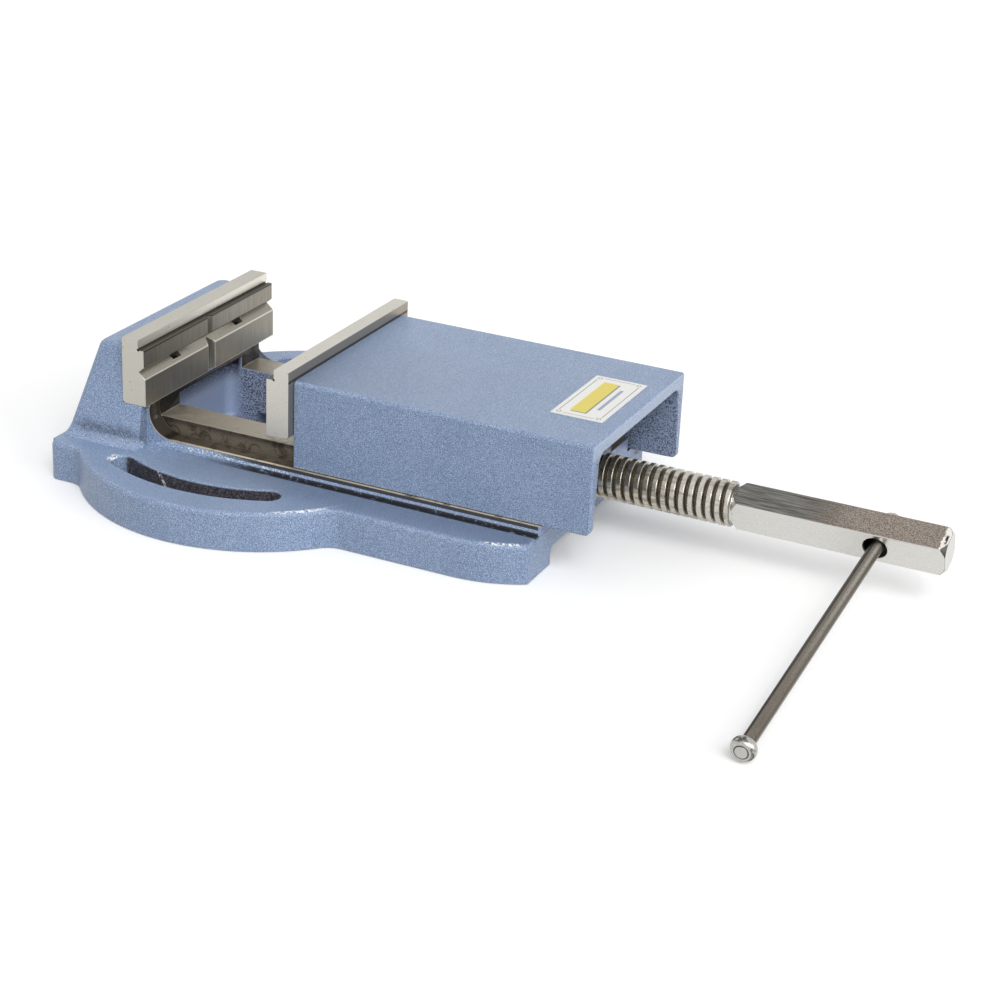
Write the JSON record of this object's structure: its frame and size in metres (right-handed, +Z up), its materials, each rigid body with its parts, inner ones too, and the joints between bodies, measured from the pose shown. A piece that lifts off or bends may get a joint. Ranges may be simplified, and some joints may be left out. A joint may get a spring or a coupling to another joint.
{
  "type": "drill press vise",
  "caption": "Drill press vise: an eared base with arc bolt slots, a fixed jaw, and a slide that a hand-turned screw with a tommy bar drives along two rails to clamp work.",
  "frame": {"origin": "on the underside of the base, in its middle plane, below the fixed jaw's clamping face", "axes": "+X from the fixed jaw towards the handle, +Y to the far side in the picture, +Z up"},
  "size_m": [0.4798, 0.3187, 0.0827],
  "materials": {
    "painted_casting": "orange-peel enamel, satin",
    "ground_steel": "ground, slightly warm grey",
    "spindle_steel": "turned, brownish, bright crests",
    "bar_steel": "drawn bar, satin",
    "cap_steel": "turned bright",
    "black_screws": "black oxide",
    "plain_steel": "plain machined steel",
    "nut_bronze": "machined bronze",
    "label_white": "blank printed plate"
  },
  "bodies": {
    "base": {"base_casting": "painted_casting", "fixed_jaw_plate": "ground_steel", "fixed_jaw_screws": "black_screws", "fixed_jaw_spring_washers": "plain_steel", "spindle_nut": "nut_bronze", "nut_screws": "black_screws"},
    "slide": {"slide_casting": "painted_casting", "moving_jaw_plate": "ground_steel", "moving_jaw_screws": "black_screws", "thrust_pad": "plain_steel", "retainer_half_near": "plain_steel", "retainer_half_far": "plain_steel", "retainer_screws": "black_screws", "keeper_strip_near": "plain_steel", "keeper_strip_far": "plain_steel", "keeper_screws": "black_screws", "label_plate": "label_white"},
    "screw": {"spindle": "spindle_steel"},
    "handle": {"tommy_bar": "bar_steel", "tommy_cap_near": "cap_steel", "tommy_cap_far": "cap_steel"}
  },
  "joints": [
    {"name": "jaw_slide", "type": "slide", "parent": "base", "child": "slide", "axis": [1, 0, 0], "range_m": [-0.0751, 0.0501]},
    {"name": "spindle_spin", "type": "hinge", "parent": "slide", "child": "screw", "pos_m": [0.393, 0, 0.0342], "axis": [1, 0, 0], "range_deg": [-5400, 3600]},
    {"name": "tommy_slide", "type": "slide", "parent": "screw", "child": "handle", "axis": [0.0138, 0.9897, 0.1426], "range_m": [0, 0.178]}
  ],
  "couplings": [
    {"joint": "jaw_slide", "follows": "spindle_spin", "m_per_rad": 0.00079577}
  ]
}
